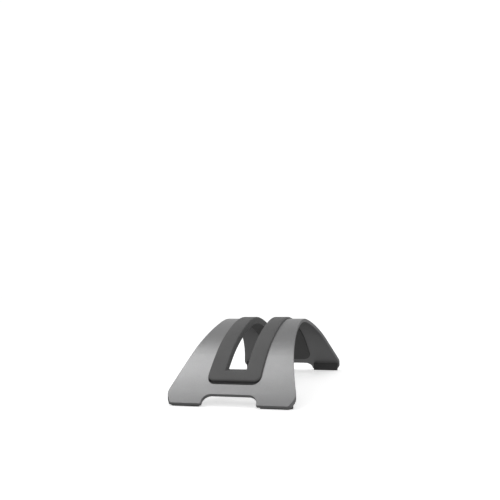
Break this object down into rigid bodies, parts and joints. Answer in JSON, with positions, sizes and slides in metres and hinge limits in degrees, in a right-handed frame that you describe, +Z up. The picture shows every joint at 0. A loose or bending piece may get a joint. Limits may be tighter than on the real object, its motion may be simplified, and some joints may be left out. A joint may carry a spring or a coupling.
{
  "type": "vertical laptop stand",
  "caption": "Arched aluminium desk stand with a silicone-lined slot that holds a closed laptop upright on its long edge.",
  "frame": {"origin": "on the table, under the middle of the arch", "axes": "+Z up, +Y along the laptop from the front feet to the rear feet, +X across the slot"},
  "size_m": [0.0946, 0.2092, 0.057],
  "materials": {
    "anodised_aluminium": "bead-blasted and anodised dark grey",
    "silicone": "matt moulded silicone",
    "pad_rubber": "matt rubber",
    "adhesive_film": "dark double-sided tape"
  },
  "bodies": {
    "root": {"arch_body": "anodised_aluminium", "laptop_insert": "silicone", "front_left_pad": "pad_rubber", "front_left_pad_film": "adhesive_film", "front_right_pad": "pad_rubber", "front_right_pad_film": "adhesive_film", "rear_left_pad": "pad_rubber", "rear_left_pad_film": "adhesive_film", "rear_right_pad": "pad_rubber", "rear_right_pad_film": "adhesive_film"}
  },
  "joints": []
}
